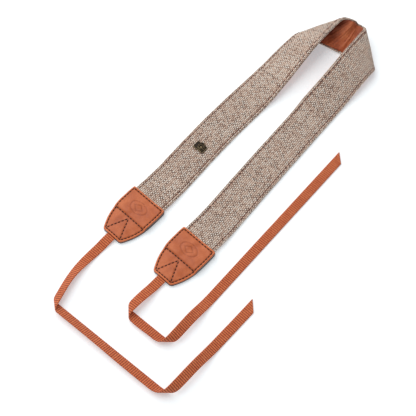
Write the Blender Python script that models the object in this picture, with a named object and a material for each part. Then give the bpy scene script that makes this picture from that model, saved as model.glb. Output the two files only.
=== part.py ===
# Camera neck strap, lying on a table: a padded tweed band lined with leather, a pair of
# leather patches on each of its ends, two narrow webbing straps and a small metal stud.
# Metres, +Z up. The band's two arms run along +Y and join in a rolled loop at the far end.
import math

import bpy
import bmesh
import numpy as np
from mathutils import Matrix, Vector

# Gap that neighbouring pieces keep
GAP = 0.0003

# Neck band
BAND_SPAN = 0.616
BAND_WIDTH = 0.038
BAND_LAP_SHARE = 0.52
FACE_THICKNESS = 0.0017
BACKING_THICKNESS = 0.0010
HEM_WIDTH = 0.0016

# Leather patches
PATCH_LENGTH = 0.0532
PATCH_WIDTH = 0.0425
PATCH_LEATHER = 0.0015
PATCH_TOP_CORNER = 0.0008
PATCH_END_CORNER = 0.0018
PATCH_SHOULDER = 0.0035

# Webbing straps
LEFT_STRAP_LENGTH = 0.345
RIGHT_STRAP_LENGTH = 0.356
STRAP_WIDTH = 0.0102
STRAP_THICKNESS = 0.0013
STRAP_LAP_SHARE = 0.44
STRAP_CUT_ANGLE = 45.0

# Stud on the left arm
STUD_WIDTH = 0.0112
STUD_HEIGHT = 0.0080
STUD_PLATE = 0.0012
STUD_CORNER = 0.0016
STUD_LENS_RADIUS = 0.0032
STUD_LENS_RISE = 0.0016

# How the strap lies: heading of the right patch, and the runs in which a strip comes down
# from between the leather, and rises into its folds
RIGHT_PATCH_HEADING = 88.5
BAND_SETTLE = 0.045
STRAP_SETTLE = 0.022
BAND_RISE = 0.060
STRAP_RISE = 0.050
CUT_RUN = 0.020

# Bends of a strip, in order. at: middle of the bend, over: its run, both as shares of the
# strip's length. turn: degrees to the left, flat. twist: degrees that the inner edge rises.
# crease: where it is not 0, the strip folds over softly, towards its underside, on a line
# at this angle from its direction of travel.
BAND_BENDS = (
    # at    over   turn  twist  crease
    (0.035, 0.070, 4.2, 0.0, 0.0),
    (0.181, 0.320, -1.1, 0.0, 0.0),
    (0.312, 0.110, 0.0, 17.0, 0.0),
    (0.440, 0.042, 0.0, 0.0, 50.5),
    (0.515, 0.050, 0.0, -16.0, 0.0),
    (0.590, 0.042, 0.0, 0.0, 136.3),
    (0.688, 0.190, 0.0, -33.0, 0.0),
    (0.825, 0.280, 5.0, 0.0, 0.0),
    (0.965, 0.070, -4.5, 0.0, 0.0),
)
LEFT_STRAP_BENDS = (
    # at    over   turn  twist  crease
    (0.135, 0.197, 17.7, 0.0, 0.0),
    (0.123, 0.209, 0.0, 35.6, 0.0),
    (0.246, 0.030, 0.0, 0.0, 43.9),
    (0.459, 0.256, 0.0, 7.5, 0.0),
    (0.673, 0.109, 0.0, 0.0, 132.8),
    (0.847, 0.240, 0.0, -28.1, 0.0),
)
RIGHT_STRAP_BENDS = (
    # at    over   turn  twist  crease
    (0.064, 0.094, -0.1, 0.0, 0.0),
    (0.058, 0.099, 0.0, 17.8, 0.0),
    (0.117, 0.055, 0.0, 0.0, 47.7),
    (0.199, 0.098, 0.0, -6.1, 0.0),
    (0.280, 0.082, 0.0, 0.0, 132.8),
    (0.371, 0.100, 0.0, -23.9, 0.0),
)

# Outline of a patch. along: share of PATCH_LENGTH from the band, half: share of half the width.
PATCH_OUTLINE = (
    # along  half
    (0.00, 0.980),
    (0.10, 0.995),
    (0.25, 1.000),
    (0.42, 0.992),
    (0.54, 0.967),
    (0.66, 0.905),
    (0.78, 0.810),
    (0.90, 0.675),
    (1.00, 0.535),
)

# Section of the face. across: share of half the width, height: share of the face's thickness.
FACE_SECTION = (
    # across height
    (-1.00, 0.45),
    (-0.95, 0.85),
    (-0.50, 0.98),
    (0.00, 1.00),
    (0.50, 0.98),
    (0.95, 0.85),
    (1.00, 0.45),
)

# Lines along the lining, as shares of half its width
LINING_SHARES = (-1.0, -0.5, 0.0, 0.5, 1.0)

# Where the stud sits, as a share of BAND_SPAN from the right patch
STUD_PLACE = 0.876

# How far before and after a fold the lines across a strip fan out, as a share of its width
FAN_SHARE = 1.5

# Fineness of the faceted solids
STATION_REACH = 0.020
STATION_TURN = 8.0
BAND_STATIONS = 96
STRAP_STATIONS = 84
PATH_SAMPLES = 900
STUD_ARC_STEPS = 5
STUD_LENS_SIDES = 20

BAND_THICKNESS = FACE_THICKNESS + GAP + BACKING_THICKNESS
PATCH_LIFT = PATCH_LEATHER + GAP
BAND_LAP = BAND_LAP_SHARE * PATCH_LENGTH
STRAP_LAP = STRAP_LAP_SHARE * PATCH_LENGTH


def clear_scene():
    for thing in list(bpy.data.objects):
        bpy.data.objects.remove(thing, do_unlink=True)


def eased(x):
    # Smooth step from 0 to 1, level at both ends
    x = np.clip(x, 0.0, 1.0)
    return x - np.sin(2 * np.pi * x) / (2 * np.pi)


def turned(axis, angles):
    # Rotation matrices about one axis, one for each angle
    x, y, z = axis
    cross = np.array([[0.0, -z, y], [z, 0.0, -x], [-y, x, 0.0]])
    outer = np.outer(axis, axis)
    sin = np.sin(angles)[:, None, None]
    cos = np.cos(angles)[:, None, None]
    return cos * np.eye(3) + sin * cross + (1 - cos) * outer


class Run:
    """A flat strip that lies on the table: its outer edge, and the lines across it."""

    def __init__(self, start, heading, length, bends, width, thickness, laps, settle, rise):
        s = np.linspace(-laps[0], length + laps[1], PATH_SAMPLES)
        turn = np.full_like(s, math.radians(heading))
        body = np.repeat(np.eye(3)[None], len(s), axis=0)
        level = np.eye(3)[None]
        folds = []
        for at, over, turn_by, twist_by, crease in bends:
            done = eased((s / length - at) / over + 0.5)
            turn += math.radians(turn_by) * done
            axis, angle = (1.0, 0.0, 0.0), math.radians(twist_by)
            if crease:
                # The fold is as deep as leaves the strip level along its length again
                lie = math.radians(crease)
                up_across, up_normal = level[0, 2, 1], level[0, 2, 2]
                axis = (math.cos(lie), math.sin(lie), 0.0)
                angle = 2 * math.atan2(abs(up_normal), abs(up_across * math.cos(lie)))
                folds.append((at * length, over * length, 1 / math.tan(lie)))
            body = body @ turned(axis, angle * done)
            level = level @ turned(axis, np.array([angle]))
        body = turned((0.0, 0.0, 1.0), turn) @ body
        self.s, self.length, self.width, self.turn = s, length, width, turn
        self.travel, self.inward, self.normal = body[:, :, 0], body[:, :, 1], body[:, :, 2]
        self.slant = self.lines_across(folds)
        edge = np.vstack([np.zeros(3), np.cumsum(
            (self.travel[1:] + self.travel[:-1]) / 2 * np.diff(s)[:, None], axis=0)])
        edge -= [np.interp(0.0, s, edge[:, i]) for i in range(3)]
        side = np.array([math.sin(turn[0]), -math.cos(turn[0]), 0.0]) * width / 2
        edge[:, :2] += np.array(start) + side[:2]
        edge[:, 2] = self.edge_height(edge[:, 2], folds, thickness, laps, settle, rise)
        self.edge = edge
        change = [np.abs(np.gradient(body[:, i, j])) for i in range(3) for j in range(3)]
        self.effort = s / STATION_REACH + np.cumsum(np.max(change, axis=0)) / math.radians(STATION_TURN)

    def lines_across(self, folds):
        # Slant of the lines across: square on the arms, along the crease in each fold
        (at_1, run_1, lie_1), (at_2, run_2, lie_2) = folds
        fan = FAN_SHARE * self.width
        knots = [at_1 - run_1 / 2 - fan, at_1 - run_1 / 4, at_1 + run_1 / 4,
                 at_2 - run_2 / 4, at_2 + run_2 / 4, at_2 + run_2 / 2 + fan]
        slant = np.interp(self.s, knots, [0.0, lie_1, lie_1, lie_2, lie_2, 0.0])
        reach = max(3, int(0.25 * self.width / (self.s[1] - self.s[0])))
        weights = np.hanning(2 * reach + 1)
        weights /= weights.sum()
        return np.convolve(np.pad(slant, reach, mode="edge"), weights, mode="valid")

    def edge_height(self, fallen, folds, thickness, laps, settle, rise):
        # The run between the folds lies lowest; the arms come down to the table beyond them
        (at_1, run_1, _), (at_2, run_2, _) = folds
        middle = (at_1 + run_1 / 2 + at_2 - run_2 / 2) / 2
        lifted = fallen - np.interp(middle, self.s, fallen)
        climb = min(rise, at_1 - run_1 / 2)
        lifted = lifted * eased((self.s - (at_1 - run_1 / 2 - climb)) / climb)
        lifted = lifted * (1 - eased((self.s - (at_2 + run_2 / 2)) / rise))
        held = 1 - eased(self.s / settle)
        if laps[1] > 0:
            held = held + eased((self.s - self.length + settle) / settle)
        rest = thickness / 2 * np.sqrt(self.normal[:, 2] ** 2 + 0.01)
        return np.maximum(lifted, 0.0) + rest + PATCH_LIFT * held

    def stations(self, count):
        # Places along the strip, closer together where it folds and twists
        wanted = np.linspace(self.effort[0], self.effort[-1], count)
        return np.interp(wanted, self.effort, self.s)

    def frame(self, s):
        # Middle point, direction of travel, line across towards the inner edge, normal
        travel, inward, normal, edge = (
            np.array([np.interp(s, self.s, rows[:, i]) for i in range(3)])
            for rows in (self.travel, self.inward, self.normal, self.edge))
        across = inward + travel * np.interp(s, self.s, self.slant)
        return edge + across * self.width / 2, travel, across, normal


def material(name, colour, roughness, metallic=0.0):
    made = bpy.data.materials.new(name)
    made.use_nodes = True
    shader = made.node_tree.nodes["Principled BSDF"]
    shader.inputs["Base Color"].default_value = (*colour, 1.0)
    shader.inputs["Roughness"].default_value = roughness
    shader.inputs["Metallic"].default_value = metallic
    return made


def solid(name, vertices, faces, finish):
    mesh = bpy.data.meshes.new(name)
    mesh.from_pydata([tuple(v) for v in vertices], [], faces)
    shape = bmesh.new()
    shape.from_mesh(mesh)
    bmesh.ops.recalc_face_normals(shape, faces=shape.faces)
    shape.to_mesh(mesh)
    shape.free()
    mesh.materials.append(finish)
    piece = bpy.data.objects.new(name, mesh)
    bpy.context.scene.collection.objects.link(piece)
    return piece


def strip(name, run, places, section, finish, cut_angle=0.0):
    # A closed section carried along a run; the far end may be cut at an angle
    vertices, faces = [], []
    size = len(section)
    for s in places:
        point, travel, inward, normal = run.frame(s)
        slant = math.tan(math.radians(cut_angle)) * eased((s - run.length) / CUT_RUN + 1)
        for across, height in section:
            vertices.append(point + inward * across + normal * height + travel * across * slant)
    for row in range(len(places) - 1):
        for i in range(size):
            j = (i + 1) % size
            a, b = row * size, (row + 1) * size
            # Every quad is split the same way across the strip, so that layers stay parallel
            if section[j][0] > section[i][0]:
                faces += [(a + i, a + j, b + j), (a + i, b + j, b + i)]
            else:
                faces += [(a + i, a + j, b + i), (a + j, b + j, b + i)]
    faces.append(tuple(range(size)))
    faces.append(tuple(range(len(vertices) - size, len(vertices))))
    return solid(name, vertices, faces, finish)


def make_band_run():
    return Run((0.0, 0.0), RIGHT_PATCH_HEADING, BAND_SPAN, BAND_BENDS, BAND_WIDTH,
               BAND_THICKNESS, (BAND_LAP, BAND_LAP), BAND_SETTLE, BAND_RISE)


def make_band(run, tweed, leather):
    half = BAND_WIDTH / 2
    floor = -BAND_THICKNESS / 2
    seat = floor + BACKING_THICKNESS + GAP
    inner = half - HEM_WIDTH
    chamfer = HEM_WIDTH / 4
    upper = [(x * half, seat + y * FACE_THICKNESS) for x, y in FACE_SECTION]
    under = [(half, floor + chamfer), (half - chamfer, floor), (inner, floor)]
    under += [(-x * inner, seat) for x in LINING_SHARES]
    under += [(-inner, floor), (-half + chamfer, floor), (-half, floor + chamfer)]
    places = run.stations(BAND_STATIONS)
    face = strip("band_face", run, places, upper + under, tweed)
    edge = inner - GAP
    lining = [(x * edge, floor + BACKING_THICKNESS) for x in LINING_SHARES]
    lining += [(-x * edge, floor) for x in LINING_SHARES]
    backing = strip("band_backing", run, places, lining, leather)
    return [face, backing]


def patch_half_width(b):
    along = np.array([row[0] for row in PATCH_OUTLINE]) * PATCH_LENGTH
    half = np.array([row[1] for row in PATCH_OUTLINE]) * PATCH_WIDTH / 2
    width = np.interp(b, along, half)
    for reach, corner in ((b, PATCH_TOP_CORNER), (PATCH_LENGTH - b, PATCH_END_CORNER)):
        if reach < corner:
            width -= corner - math.sqrt(corner ** 2 - (corner - reach) ** 2)
    return width


def patch_rows():
    # Places down a patch: close together round its corners and where its pockets end
    corner = [PATCH_TOP_CORNER * (1 - math.cos(math.radians(a))) for a in (0, 30, 60, 90)]
    end = [PATCH_LENGTH - PATCH_END_CORNER * (1 - math.cos(math.radians(a)))
           for a in (90, 60, 30, 0)]
    band_end = BAND_LAP + GAP
    strap_end = PATCH_LENGTH - STRAP_LAP - GAP
    wide = list(np.linspace(corner[-1], band_end, 7)[1:])
    bar = [band_end + GAP, strap_end - GAP, strap_end]
    narrow = list(np.linspace(strap_end, end[0], 7)[1:-1])
    return corner + wide + bar + narrow + end


def patch_top(b, inset, half_width):
    # Height of the upper leather: high over the band, lower over the webbing, down at its rim
    step = eased((b - (BAND_LAP - PATCH_SHOULDER)) / (2 * PATCH_SHOULDER))
    over_band = PATCH_LIFT + BAND_THICKNESS + GAP + PATCH_LEATHER
    over_strap = PATCH_LIFT + STRAP_THICKNESS + GAP + PATCH_LEATHER
    crest = over_band + (over_strap - over_band) * step
    rim_wide = over_band - 0.8 * PATCH_LEATHER
    rim = rim_wide + (PATCH_LIFT + PATCH_LEATHER - rim_wide) * step
    slope = PATCH_SHOULDER + (half_width - STRAP_WIDTH / 2 - PATCH_SHOULDER) * step
    rise = math.sin(math.pi / 2 * min(inset / max(slope, PATCH_SHOULDER), 1.0))
    return rim + (crest - rim) * rise


def make_patch_front(name, place, leather):
    upper_shares = (-1, -0.965, -0.9, -0.75, -0.5, -0.25, 0, 0.25, 0.5, 0.75, 0.9, 0.965, 1)
    rows = patch_rows()
    band_end = BAND_LAP + GAP
    strap_end = PATCH_LENGTH - STRAP_LAP - GAP
    band_roof = PATCH_LIFT + BAND_THICKNESS + GAP
    strap_roof = PATCH_LIFT + STRAP_THICKNESS + GAP
    vertices, uppers, unders = [], [], []
    for b in rows:
        half = patch_half_width(b)
        first = len(vertices)
        for share in upper_shares:
            inset = half * (1 - abs(share))
            vertices.append((share * half, b, patch_top(b, inset, half)))
        uppers.append(list(range(first, len(vertices))))
        roof = PATCH_LIFT
        pocket = BAND_WIDTH / 2 + GAP
        if b <= band_end + GAP / 2:
            roof = band_roof
        if b >= strap_end - GAP / 2:
            roof = strap_roof
        if b > (band_end + strap_end) / 2:
            pocket = STRAP_WIDTH / 2 + GAP
        pocket = min(pocket, half - 2 * GAP)
        first = len(vertices)
        for a, z in ((-half, PATCH_LIFT), (-pocket - GAP, PATCH_LIFT), (-pocket, roof),
                     (pocket, roof), (pocket + GAP, PATCH_LIFT), (half, PATCH_LIFT)):
            vertices.append((a, b, z))
        unders.append(list(range(first, len(vertices))))
    faces = []
    for grid in (uppers, unders):
        for one, two in zip(grid, grid[1:]):
            for i in range(len(one) - 1):
                faces.append((one[i], one[i + 1], two[i + 1], two[i]))
    for j in range(len(rows) - 1):
        for side in (0, -1):
            faces.append((uppers[j][side], uppers[j + 1][side],
                          unders[j + 1][side], unders[j][side]))
    for j in (0, -1):
        faces.append(tuple(uppers[j]) + tuple(reversed(unders[j])))
    return solid(name, [place @ Vector(v) for v in vertices], faces, leather)


def make_patch_back(name, place, leather):
    rows = patch_rows()
    outline = [(patch_half_width(b), b) for b in rows]
    outline += [(-patch_half_width(b), b) for b in reversed(rows)]
    vertices = [place @ Vector((a, b, z)) for z in (0.0, PATCH_LEATHER) for a, b in outline]
    count = len(outline)
    faces = [tuple(range(count)), tuple(range(count, 2 * count))]
    for i in range(count):
        j = (i + 1) % count
        faces.append((i, j, j + count, i + count))
    return solid(name, vertices, faces, leather)


def patch_place(run, s, outward):
    # Frame of a patch: x across, y away from the band, z up from the table
    point = run.frame(s)[0]
    travel = run.frame(s)[1] * (1 if outward else -1)
    away = math.atan2(travel[1], travel[0])
    spin = Matrix.Rotation(away - math.pi / 2, 4, "Z")
    return Matrix.Translation((point[0], point[1], 0.0)) @ spin


def make_strap(name, place, length, bends, webbing):
    start = place @ Vector((0.0, PATCH_LENGTH, 0.0))
    down = place.to_3x3() @ Vector((0.0, 1.0, 0.0))
    heading = math.degrees(math.atan2(down.y, down.x))
    run = Run((start.x, start.y), heading, length, bends, STRAP_WIDTH, STRAP_THICKNESS,
              (STRAP_LAP, 0.0), STRAP_SETTLE, STRAP_RISE)
    half, edge = STRAP_WIDTH / 2, STRAP_THICKNESS / 2
    soft = edge * 0.5
    section = [(-half, -edge + soft), (-half, edge - soft), (-half + soft, edge),
               (half - soft, edge), (half, edge - soft), (half, -edge + soft),
               (half - soft, -edge), (-half + soft, -edge)]
    return strip(name, run, run.stations(STRAP_STATIONS), section, webbing, STRAP_CUT_ANGLE)


def stud_outline():
    # Front of a small camera: rounded plate, a hump over the lens and a button beside it
    half, low, high = STUD_WIDTH / 2, -STUD_HEIGHT / 2, STUD_HEIGHT / 2
    hump, button = STUD_WIDTH * 0.20, STUD_WIDTH * 0.12
    points = []
    corners = ((half - STUD_CORNER, high - STUD_CORNER, 0),
               (-half + STUD_CORNER, high - STUD_CORNER, 90),
               (-half + STUD_CORNER, low + STUD_CORNER, 180),
               (half - STUD_CORNER, low + STUD_CORNER, 270))
    for number, (x, y, first) in enumerate(corners):
        for step in range(STUD_ARC_STEPS + 1):
            angle = math.radians(first + 90.0 * step / STUD_ARC_STEPS)
            points.append((x + STUD_CORNER * math.cos(angle),
                           y + STUD_CORNER * math.sin(angle)))
        if number == 0:
            points += [(hump, high), (hump * 0.7, high + button),
                       (-hump * 0.7, high + button), (-hump, high)]
    return points


def make_stud(run, bronze):
    s = STUD_PLACE * BAND_SPAN
    point, travel, inward, normal = run.frame(s)
    seat = point + normal * (BAND_THICKNESS / 2 + GAP)
    # The hump points away from the patches
    up = -travel
    right = np.cross(up, normal)
    place = Matrix([[right[i], up[i], normal[i], seat[i]] for i in range(3)]
                   + [[0.0, 0.0, 0.0, 1.0]])
    outline = stud_outline()
    count = len(outline)
    bevel = STUD_PLATE * 0.3
    vertices = []
    for z, shrink in ((0.0, 0.0), (STUD_PLATE - bevel, 0.0), (STUD_PLATE, bevel)):
        for x, y in outline:
            away = max(math.hypot(x, y), bevel)
            vertices.append((x - shrink * x / away, y - shrink * y / away, z))
    faces = [tuple(range(count)), tuple(range(2 * count, 3 * count))]
    for ring in range(2):
        for i in range(count):
            j = (i + 1) % count
            a, b = ring * count, (ring + 1) * count
            faces.append((a + i, a + j, b + j, b + i))
    stud = solid("camera_stud", [place @ Vector(v) for v in vertices], faces, bronze)
    lens = make_stud_lens(place, bronze)
    join = stud.modifiers.new("lens", "BOOLEAN")
    join.operation = "UNION"
    join.object = lens
    return stud


def make_stud_lens(place, bronze):
    # Turned rings of the lens, outer to middle, with a shallow dome in the centre
    r, plate, rise = STUD_LENS_RADIUS, STUD_PLATE, STUD_LENS_RISE
    profile = [(r, plate * 0.5), (r, plate + rise * 0.5), (r * 0.92, plate + rise * 0.62),
               (r * 0.80, plate + rise * 0.62), (r * 0.72, plate + rise * 0.40),
               (r * 0.66, plate + rise * 0.95), (r * 0.58, plate + rise),
               (r * 0.50, plate + rise), (r * 0.40, plate + rise * 0.62),
               (r * 0.20, plate + rise * 0.80)]
    vertices, faces = [], []
    for radius, z in profile:
        for k in range(STUD_LENS_SIDES):
            angle = 2 * math.pi * k / STUD_LENS_SIDES
            vertices.append((radius * math.cos(angle), radius * math.sin(angle), z))
    for ring in range(len(profile) - 1):
        for k in range(STUD_LENS_SIDES):
            n = (k + 1) % STUD_LENS_SIDES
            a, b = ring * STUD_LENS_SIDES, (ring + 1) * STUD_LENS_SIDES
            faces.append((a + k, a + n, b + n, b + k))
    faces.append(tuple(range(STUD_LENS_SIDES)))
    faces.append(tuple(range(len(vertices) - STUD_LENS_SIDES, len(vertices))))
    lens = solid("stud_lens_cutter", [place @ Vector(v) for v in vertices], faces, bronze)
    lens.hide_render = True
    lens.display_type = "WIRE"
    return lens


def centre_on_table(pieces):
    # The origin is the middle of the strap's box, on the table
    corners = np.array([v.co for piece in pieces for v in piece.data.vertices])
    middle = (corners.min(axis=0) + corners.max(axis=0)) / 2
    shift = Matrix.Translation((-middle[0], -middle[1], 0.0))
    for piece in pieces:
        piece.data.transform(shift)


def main():
    clear_scene()
    tweed = material("tweed", (0.36, 0.29, 0.24), 0.95)
    lining = material("lining leather", (0.42, 0.14, 0.06), 0.55)
    leather = material("patch leather", (0.46, 0.15, 0.065), 0.45)
    webbing = material("webbing", (0.36, 0.11, 0.045), 0.8)
    bronze = material("old bronze", (0.09, 0.07, 0.05), 0.4, 0.9)

    run = make_band_run()
    make_band(run, tweed, lining)
    sides = (
        ("left", BAND_SPAN, True, LEFT_STRAP_LENGTH, LEFT_STRAP_BENDS),
        ("right", 0.0, False, RIGHT_STRAP_LENGTH, RIGHT_STRAP_BENDS),
    )
    for side, s, outward, length, bends in sides:
        place = patch_place(run, s, outward)
        make_patch_front("patch_front_" + side, place, leather)
        make_patch_back("patch_back_" + side, place, leather)
        make_strap("strap_" + side, place, length, bends, webbing)
    make_stud(run, bronze)
    centre_on_table(list(bpy.data.objects))


main()
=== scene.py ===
# Camera neck strap lying folded on a white table. Metres, +Z up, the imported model's frame.
import math

import bmesh
import bpy
import numpy as np
from mathutils import Matrix, Vector


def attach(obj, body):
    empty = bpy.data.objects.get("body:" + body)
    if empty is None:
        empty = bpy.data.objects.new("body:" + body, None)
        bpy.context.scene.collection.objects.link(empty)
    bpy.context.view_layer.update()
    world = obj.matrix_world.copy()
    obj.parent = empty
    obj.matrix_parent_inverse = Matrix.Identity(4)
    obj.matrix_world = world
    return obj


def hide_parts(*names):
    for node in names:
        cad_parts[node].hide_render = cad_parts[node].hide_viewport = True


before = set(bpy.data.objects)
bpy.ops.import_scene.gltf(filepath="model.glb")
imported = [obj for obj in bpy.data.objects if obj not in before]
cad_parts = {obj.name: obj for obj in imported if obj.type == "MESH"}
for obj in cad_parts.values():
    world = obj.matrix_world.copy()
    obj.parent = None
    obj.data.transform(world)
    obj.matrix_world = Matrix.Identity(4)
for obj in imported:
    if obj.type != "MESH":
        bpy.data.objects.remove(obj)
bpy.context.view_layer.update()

# Camera: the photograph's angle, distance and aim
CAMERA_AZIMUTH = 41.0
CAMERA_ELEVATION = 63.7
CAMERA_DISTANCE = 0.991
CAMERA_SENSOR = 36.0
CAMERA_LENS = 86.77
CAMERA_NEAR = 0.01
AIM_FROM_RIGHT_PATCH = (-0.0180, 0.0330)

# Where the right patch's upper edge lies
RIGHT_PATCH_TOP = (0.00086, -0.07826)
RIGHT_PATCH_HEADING = 88.5

# Sizes of the solids
GAP = 0.0003
BAND_SPAN = 0.616
BAND_WIDTH = 0.038
BAND_LAP_SHARE = 0.52
FACE_THICKNESS = 0.0017
BACKING_THICKNESS = 0.0010
HEM_WIDTH = 0.0016
PATCH_LENGTH = 0.0532
PATCH_WIDTH = 0.0425
PATCH_LEATHER = 0.0015
PATCH_TOP_CORNER = 0.0008
PATCH_END_CORNER = 0.0018
PATCH_SHOULDER = 0.0035
LEFT_STRAP_LENGTH = 0.345
RIGHT_STRAP_LENGTH = 0.356
STRAP_WIDTH = 0.0102
STRAP_THICKNESS = 0.0013
STRAP_LAP_SHARE = 0.44
STRAP_CUT_ANGLE = 45.0
CUT_RUN = 0.020
STUD_PLACE = 0.876
BAND_THICKNESS = FACE_THICKNESS + GAP + BACKING_THICKNESS
PATCH_LIFT = PATCH_LEATHER + GAP
BAND_LAP = BAND_LAP_SHARE * PATCH_LENGTH
STRAP_LAP = STRAP_LAP_SHARE * PATCH_LENGTH

# How a strip comes down from its patch, climbs to its folds, and rests where it stands steep
BAND_SETTLE = 0.045
STRAP_SETTLE = 0.022
BAND_RISE = 0.060
STRAP_RISE = 0.050
STEEP_REST = 0.01

# Lines across a strip: how far they fan out beyond a fold and blend, in widths of the strip
FAN_SHARE = 1.5
BLEND_SHARE = 0.25
PATH_SAMPLES = 900

# Bends of a strip: middle and run as shares of its length, flat turn, twist and fold line
BAND_BENDS = (
    # at    over   turn  twist  crease
    (0.035, 0.070, 4.2, 0.0, 0.0),
    (0.181, 0.320, -1.1, 0.0, 0.0),
    (0.312, 0.110, 0.0, 17.0, 0.0),
    (0.440, 0.042, 0.0, 0.0, 50.5),
    (0.515, 0.050, 0.0, -16.0, 0.0),
    (0.590, 0.042, 0.0, 0.0, 136.3),
    (0.688, 0.190, 0.0, -33.0, 0.0),
    (0.825, 0.280, 5.0, 0.0, 0.0),
    (0.965, 0.070, -4.5, 0.0, 0.0),
)
LEFT_STRAP_BENDS = (
    # at    over   turn  twist  crease
    (0.135, 0.197, 17.7, 0.0, 0.0),
    (0.123, 0.209, 0.0, 35.6, 0.0),
    (0.246, 0.030, 0.0, 0.0, 43.9),
    (0.459, 0.256, 0.0, 7.5, 0.0),
    (0.673, 0.109, 0.0, 0.0, 132.8),
    (0.847, 0.240, 0.0, -28.1, 0.0),
)
RIGHT_STRAP_BENDS = (
    # at    over   turn  twist  crease
    (0.064, 0.094, -0.1, 0.0, 0.0),
    (0.058, 0.099, 0.0, 17.8, 0.0),
    (0.117, 0.055, 0.0, 0.0, 47.7),
    (0.199, 0.098, 0.0, -6.1, 0.0),
    (0.280, 0.082, 0.0, 0.0, 132.8),
    (0.371, 0.100, 0.0, -23.9, 0.0),
)

# Slow irregular waves of soft pieces: slant across the piece, seed, wave lengths, height
CLOTH_PUFF = (0.6, 5, (0.011, 0.019, 0.031), 0.00012)
EDGE_WANDER = (0.2, 9, (0.009, 0.023, 0.041), 0.00010)
LINING_BUCKLES = (0.25, 12, (0.013, 0.019, 0.0074), 0.0022)
PATCH_SWELL_ALONG = (0.4, 21, (0.011, 0.017, 0.026), 0.00034)
PATCH_SWELL_ACROSS = (-0.3, 22, (0.009, 0.014, 0.021), 0.00028)

# Tweed of the band: roundings, crown, dip along the stitches and the shade painted into it, fading
# of the waves
FACE_ROUND = 0.0011
FACE_CROWN = 0.00020
HEM_ROUND = 0.0005
HEM_STRAIGHT = 0.0002
DIP_DEPTH = 0.00030
DIP_SPREAD = 0.0007
SEAM_SPREAD = 0.0006
PUFF_FADE = 0.004
PATCH_CLEAR = 0.002
BAND_ROWS = 430
FACE_MIDDLE_COLUMNS = 12
FACE_STEPS = (0.0, 0.00012, 0.0003, 0.0006, 0.0009, 0.0013, 0.0018, 0.0022, 0.0026, 0.0030,
              0.0034, 0.0038, 0.0044, 0.0055, 0.0075)

# Lining: soft edge, and where along the band it buckles and where a shadow is painted on it, each
# as the place and run of the start and of the end, in shares of the band's length
LINING_SOFT = 0.0003
LINING_MARGIN = 0.0015
LINING_COLUMNS = 24
BUCKLED_PART = (0.43, 0.04, 0.565, 0.04)
SHADED_PART = (0.530, 0.045, 0.62, 0.05)
BUCKLE_FADE = 0.005
VALLEY_DEPTH = 0.0009
# Strength of the shadow painted on the lining, and of the shade painted into its buckles' valleys
SHADE_TINT = 0.95
VALLEY_SHADE = 0.45

# Webbing: ribs, how deep the valleys between them are, soft edges and their corner points
RIB_PITCH = 0.00215
RIB_ROWS_EACH = 6
RIB_DEPTH_UPPER = 0.00013
RIB_DEPTH_LOWER = 0.00022
RIB_DEPTH_SIDE = 0.00016
STRAP_SOFT = 0.0005
STRAP_CORNER_SHARES = (0.35, 0.30)
STRAP_COLUMNS = 7

# Outline of a patch: share of its length from the band, share of half its width
PATCH_OUTLINE = (
    # along  half
    (0.00, 0.980),
    (0.10, 0.995),
    (0.25, 1.000),
    (0.42, 0.992),
    (0.54, 0.967),
    (0.66, 0.905),
    (0.78, 0.810),
    (0.90, 0.675),
    (1.00, 0.535),
)
OUTLINE_SAMPLES = 400
OUTLINE_BLEND = 16
OUTLINE_POINTS = 160

# Upper leather of a patch: rolled border, grooves of the stitching, lighter tint along the border
# and painted shade in the grooves, spacing of points
BORDER_ROLL = 0.00030
BORDER_WIDTH = 0.0019
BORDER_TINT_FADE = 0.0004
RIM_SHARE = 0.5
EDGE_ROUND = 0.0006
GROOVE_DEPTH = 0.00045
GROOVE_SPREAD = 0.000585
GROOVE_SHADE = 0.75
SWELL_FADE = 0.002
PATCH_GRID = 0.0007
RIM_STEPS = (0.0, 0.00012, 0.0003, 0.0006, 0.0009, 0.0013, 0.0017, 0.0020, 0.0023, 0.0026,
             0.0031, 0.0038)

# Lower leather of a patch
UNDER_SOFT = 0.0004
UNDER_POINTS = 60

# Pressed ornament: place, half sizes of the oval, the lozenge's share of them, line, depth
ORNAMENT_PLACE = 0.0150
OVAL_HALF = (0.0095, 0.0062)
OVAL_RADIUS = 0.0075
LOZENGE_SHARE = (0.55, 0.62)
LOZENGE_RADIUS = 0.0028
ORNAMENT_LINE = 0.00035
ORNAMENT_DEPTH = 0.00045
# Painted shade in the ornament's pressed lines
ORNAMENT_SHADE = 0.70

# Stitching of the band
BAND_STITCH_INSET = 0.0030
BAND_STITCH_START = 0.001
BAND_STITCH_LENGTH = 0.0027
BAND_STITCH_PITCH = 0.0043
BAND_STITCH_RADIUS = 0.00045
BAND_STITCH_LIFT = 0.00012

# Stitching of a patch: border, cross line and the V below it
PATCH_STITCH_INSET = 0.0022
PATCH_STITCH_PITCH = 0.0036
PATCH_STITCH_SHARES = (0.17, 0.83)
PATCH_STITCH_RADIUS = 0.00050
PATCH_STITCH_LIFT = 0.00016
PATCH_SIDE_POINTS = 60
PATCH_CROSS_LINE = 0.0281
PATCH_V_APEX = 0.0300
PATCH_V_APEX_HALF = 0.0003
PATCH_V_FOOT = 0.0030
PATCH_V_SIDE = 0.0008

# A stitch from end to end: share of its length, of its radius, and how high it stands
STITCH_PROFILE = ((0.0, 0.35, 0.0), (0.12, 0.85, 0.6), (0.35, 1.0, 0.95), (0.65, 1.0, 0.95),
                  (0.88, 0.85, 0.6), (1.0, 0.35, 0.0))
STITCH_SIDES = 6

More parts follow.
